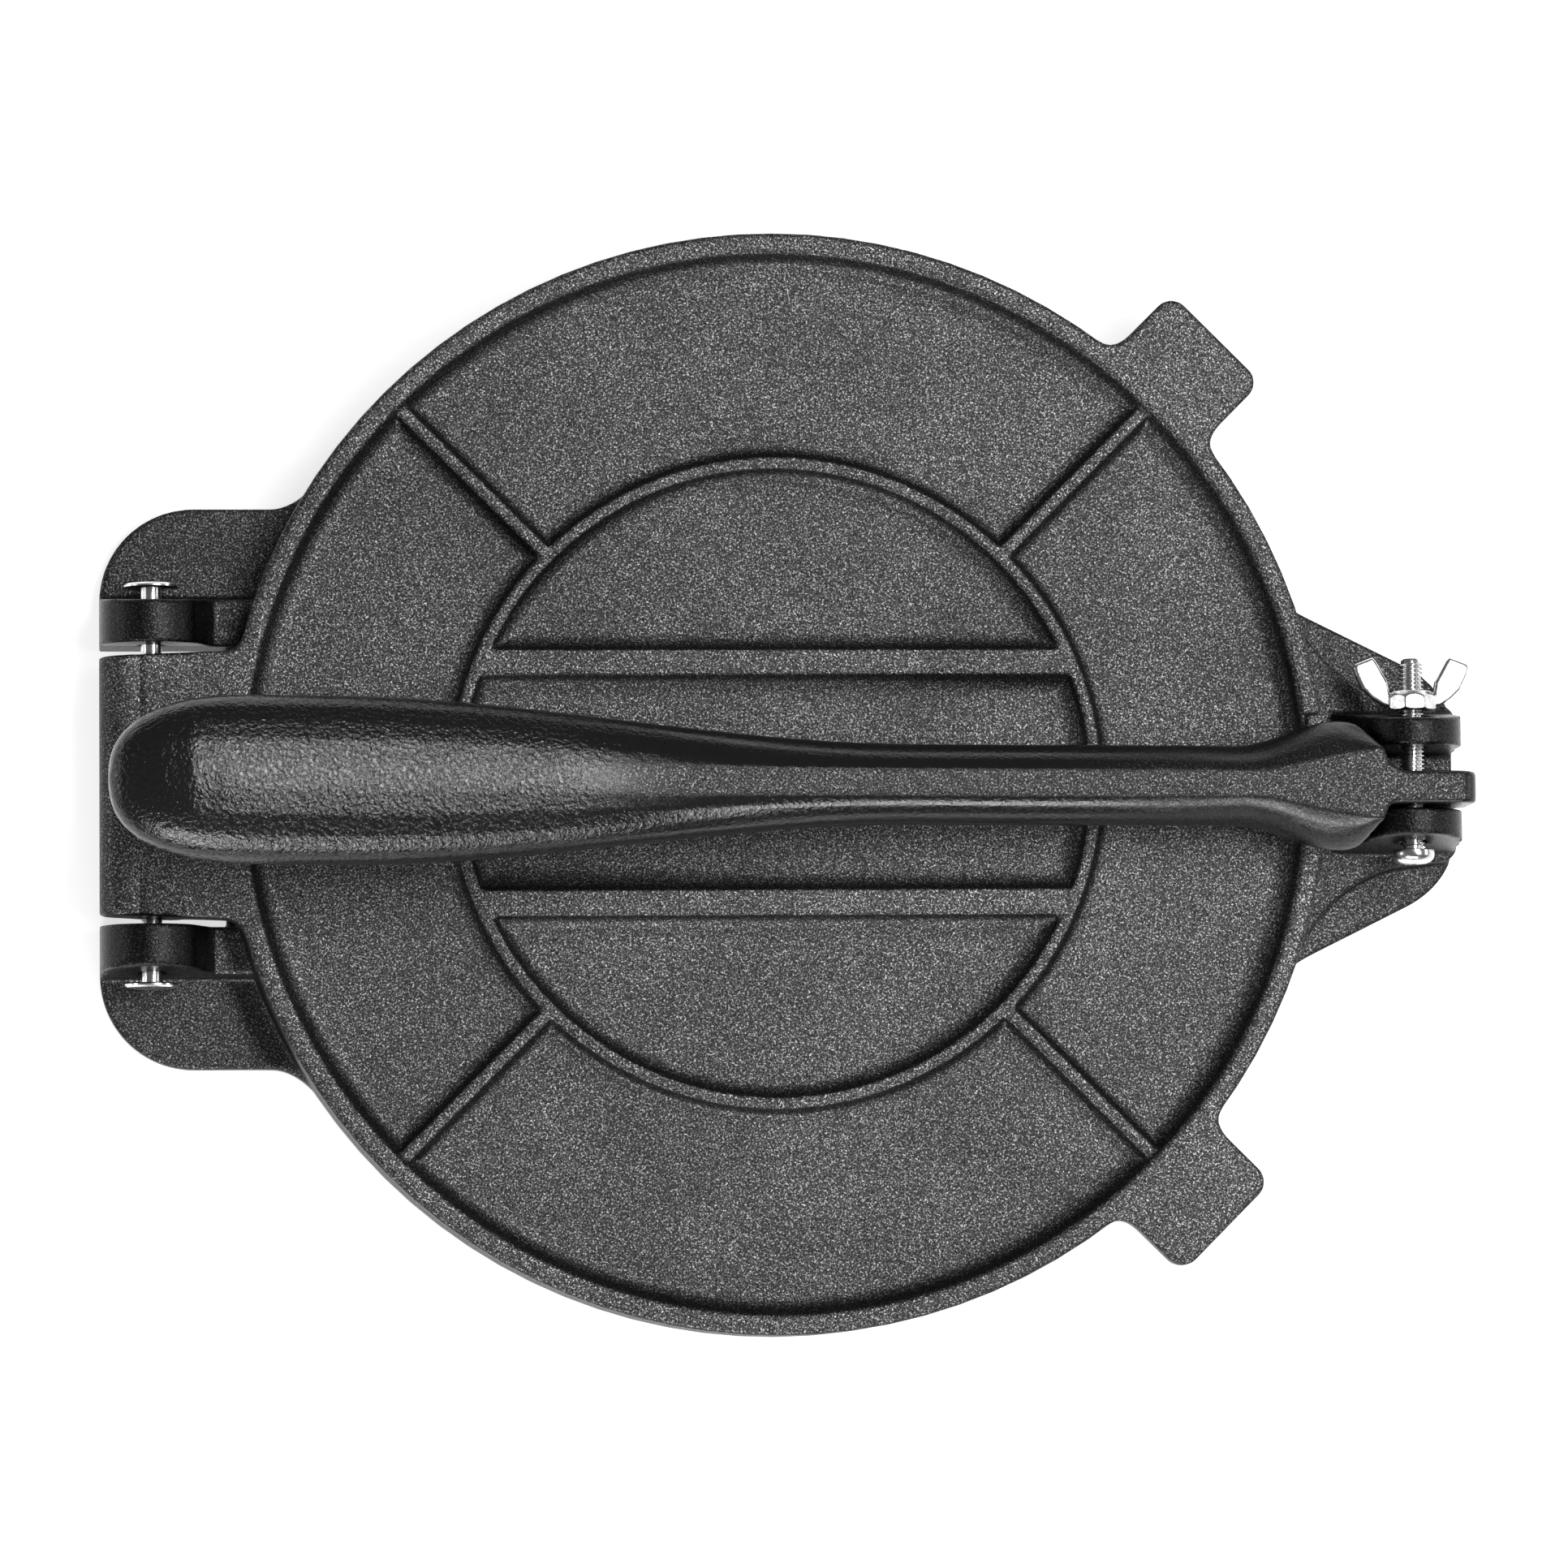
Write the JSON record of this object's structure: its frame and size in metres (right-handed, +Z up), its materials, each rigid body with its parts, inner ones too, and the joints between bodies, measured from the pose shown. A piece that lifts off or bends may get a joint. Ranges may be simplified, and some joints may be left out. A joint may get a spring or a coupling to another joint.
{
  "type": "tortilla press",
  "caption": "Round cast iron tortilla press with two hinged ribbed plates and a folding lever held by a bolt and wing nut.",
  "frame": {"origin": "on the table under the middle of the press's bounding box, press closed", "axes": "+X towards the lever's bolt, -X towards the plates' hinge, +Y towards the wing nut, +Z up"},
  "size_m": [0.3278, 0.264, 0.0726],
  "materials": {
    "cast_iron": "dark seasoned, rough as cast",
    "lever_iron": "dark satin coating with a fine crinkle",
    "zinc": "bright zinc plate"
  },
  "bodies": {
    "base": {"base_plate": "cast_iron", "pivot_bolt": "zinc"},
    "top": {"top_plate": "cast_iron", "hinge_pin_left": "zinc", "hinge_pin_right": "zinc"},
    "lever": {"lever_handle": "lever_iron"},
    "nut": {"wing_nut": "zinc"}
  },
  "joints": [
    {"name": "lever_swing", "type": "hinge", "parent": "base", "child": "lever", "pos_m": [0.1498, -0.002, 0.027], "axis": [0, 1, 0], "range_deg": [0, 155]},
    {"name": "plate_hinge", "type": "hinge", "parent": "base", "child": "top", "pos_m": [-0.1515, 0, 0.016], "axis": [0, -1, 0], "range_deg": [0, 180]},
    {"name": "wing_nut_turn", "type": "hinge", "parent": "base", "child": "nut", "pos_m": [0.1498, 0.016, 0.027], "axis": [0, 1, 0], "continuous": true}
  ],
  "couplings": [
    {"joint": "plate_hinge", "follows": "lever_swing", "ratio": 0.075}
  ]
}
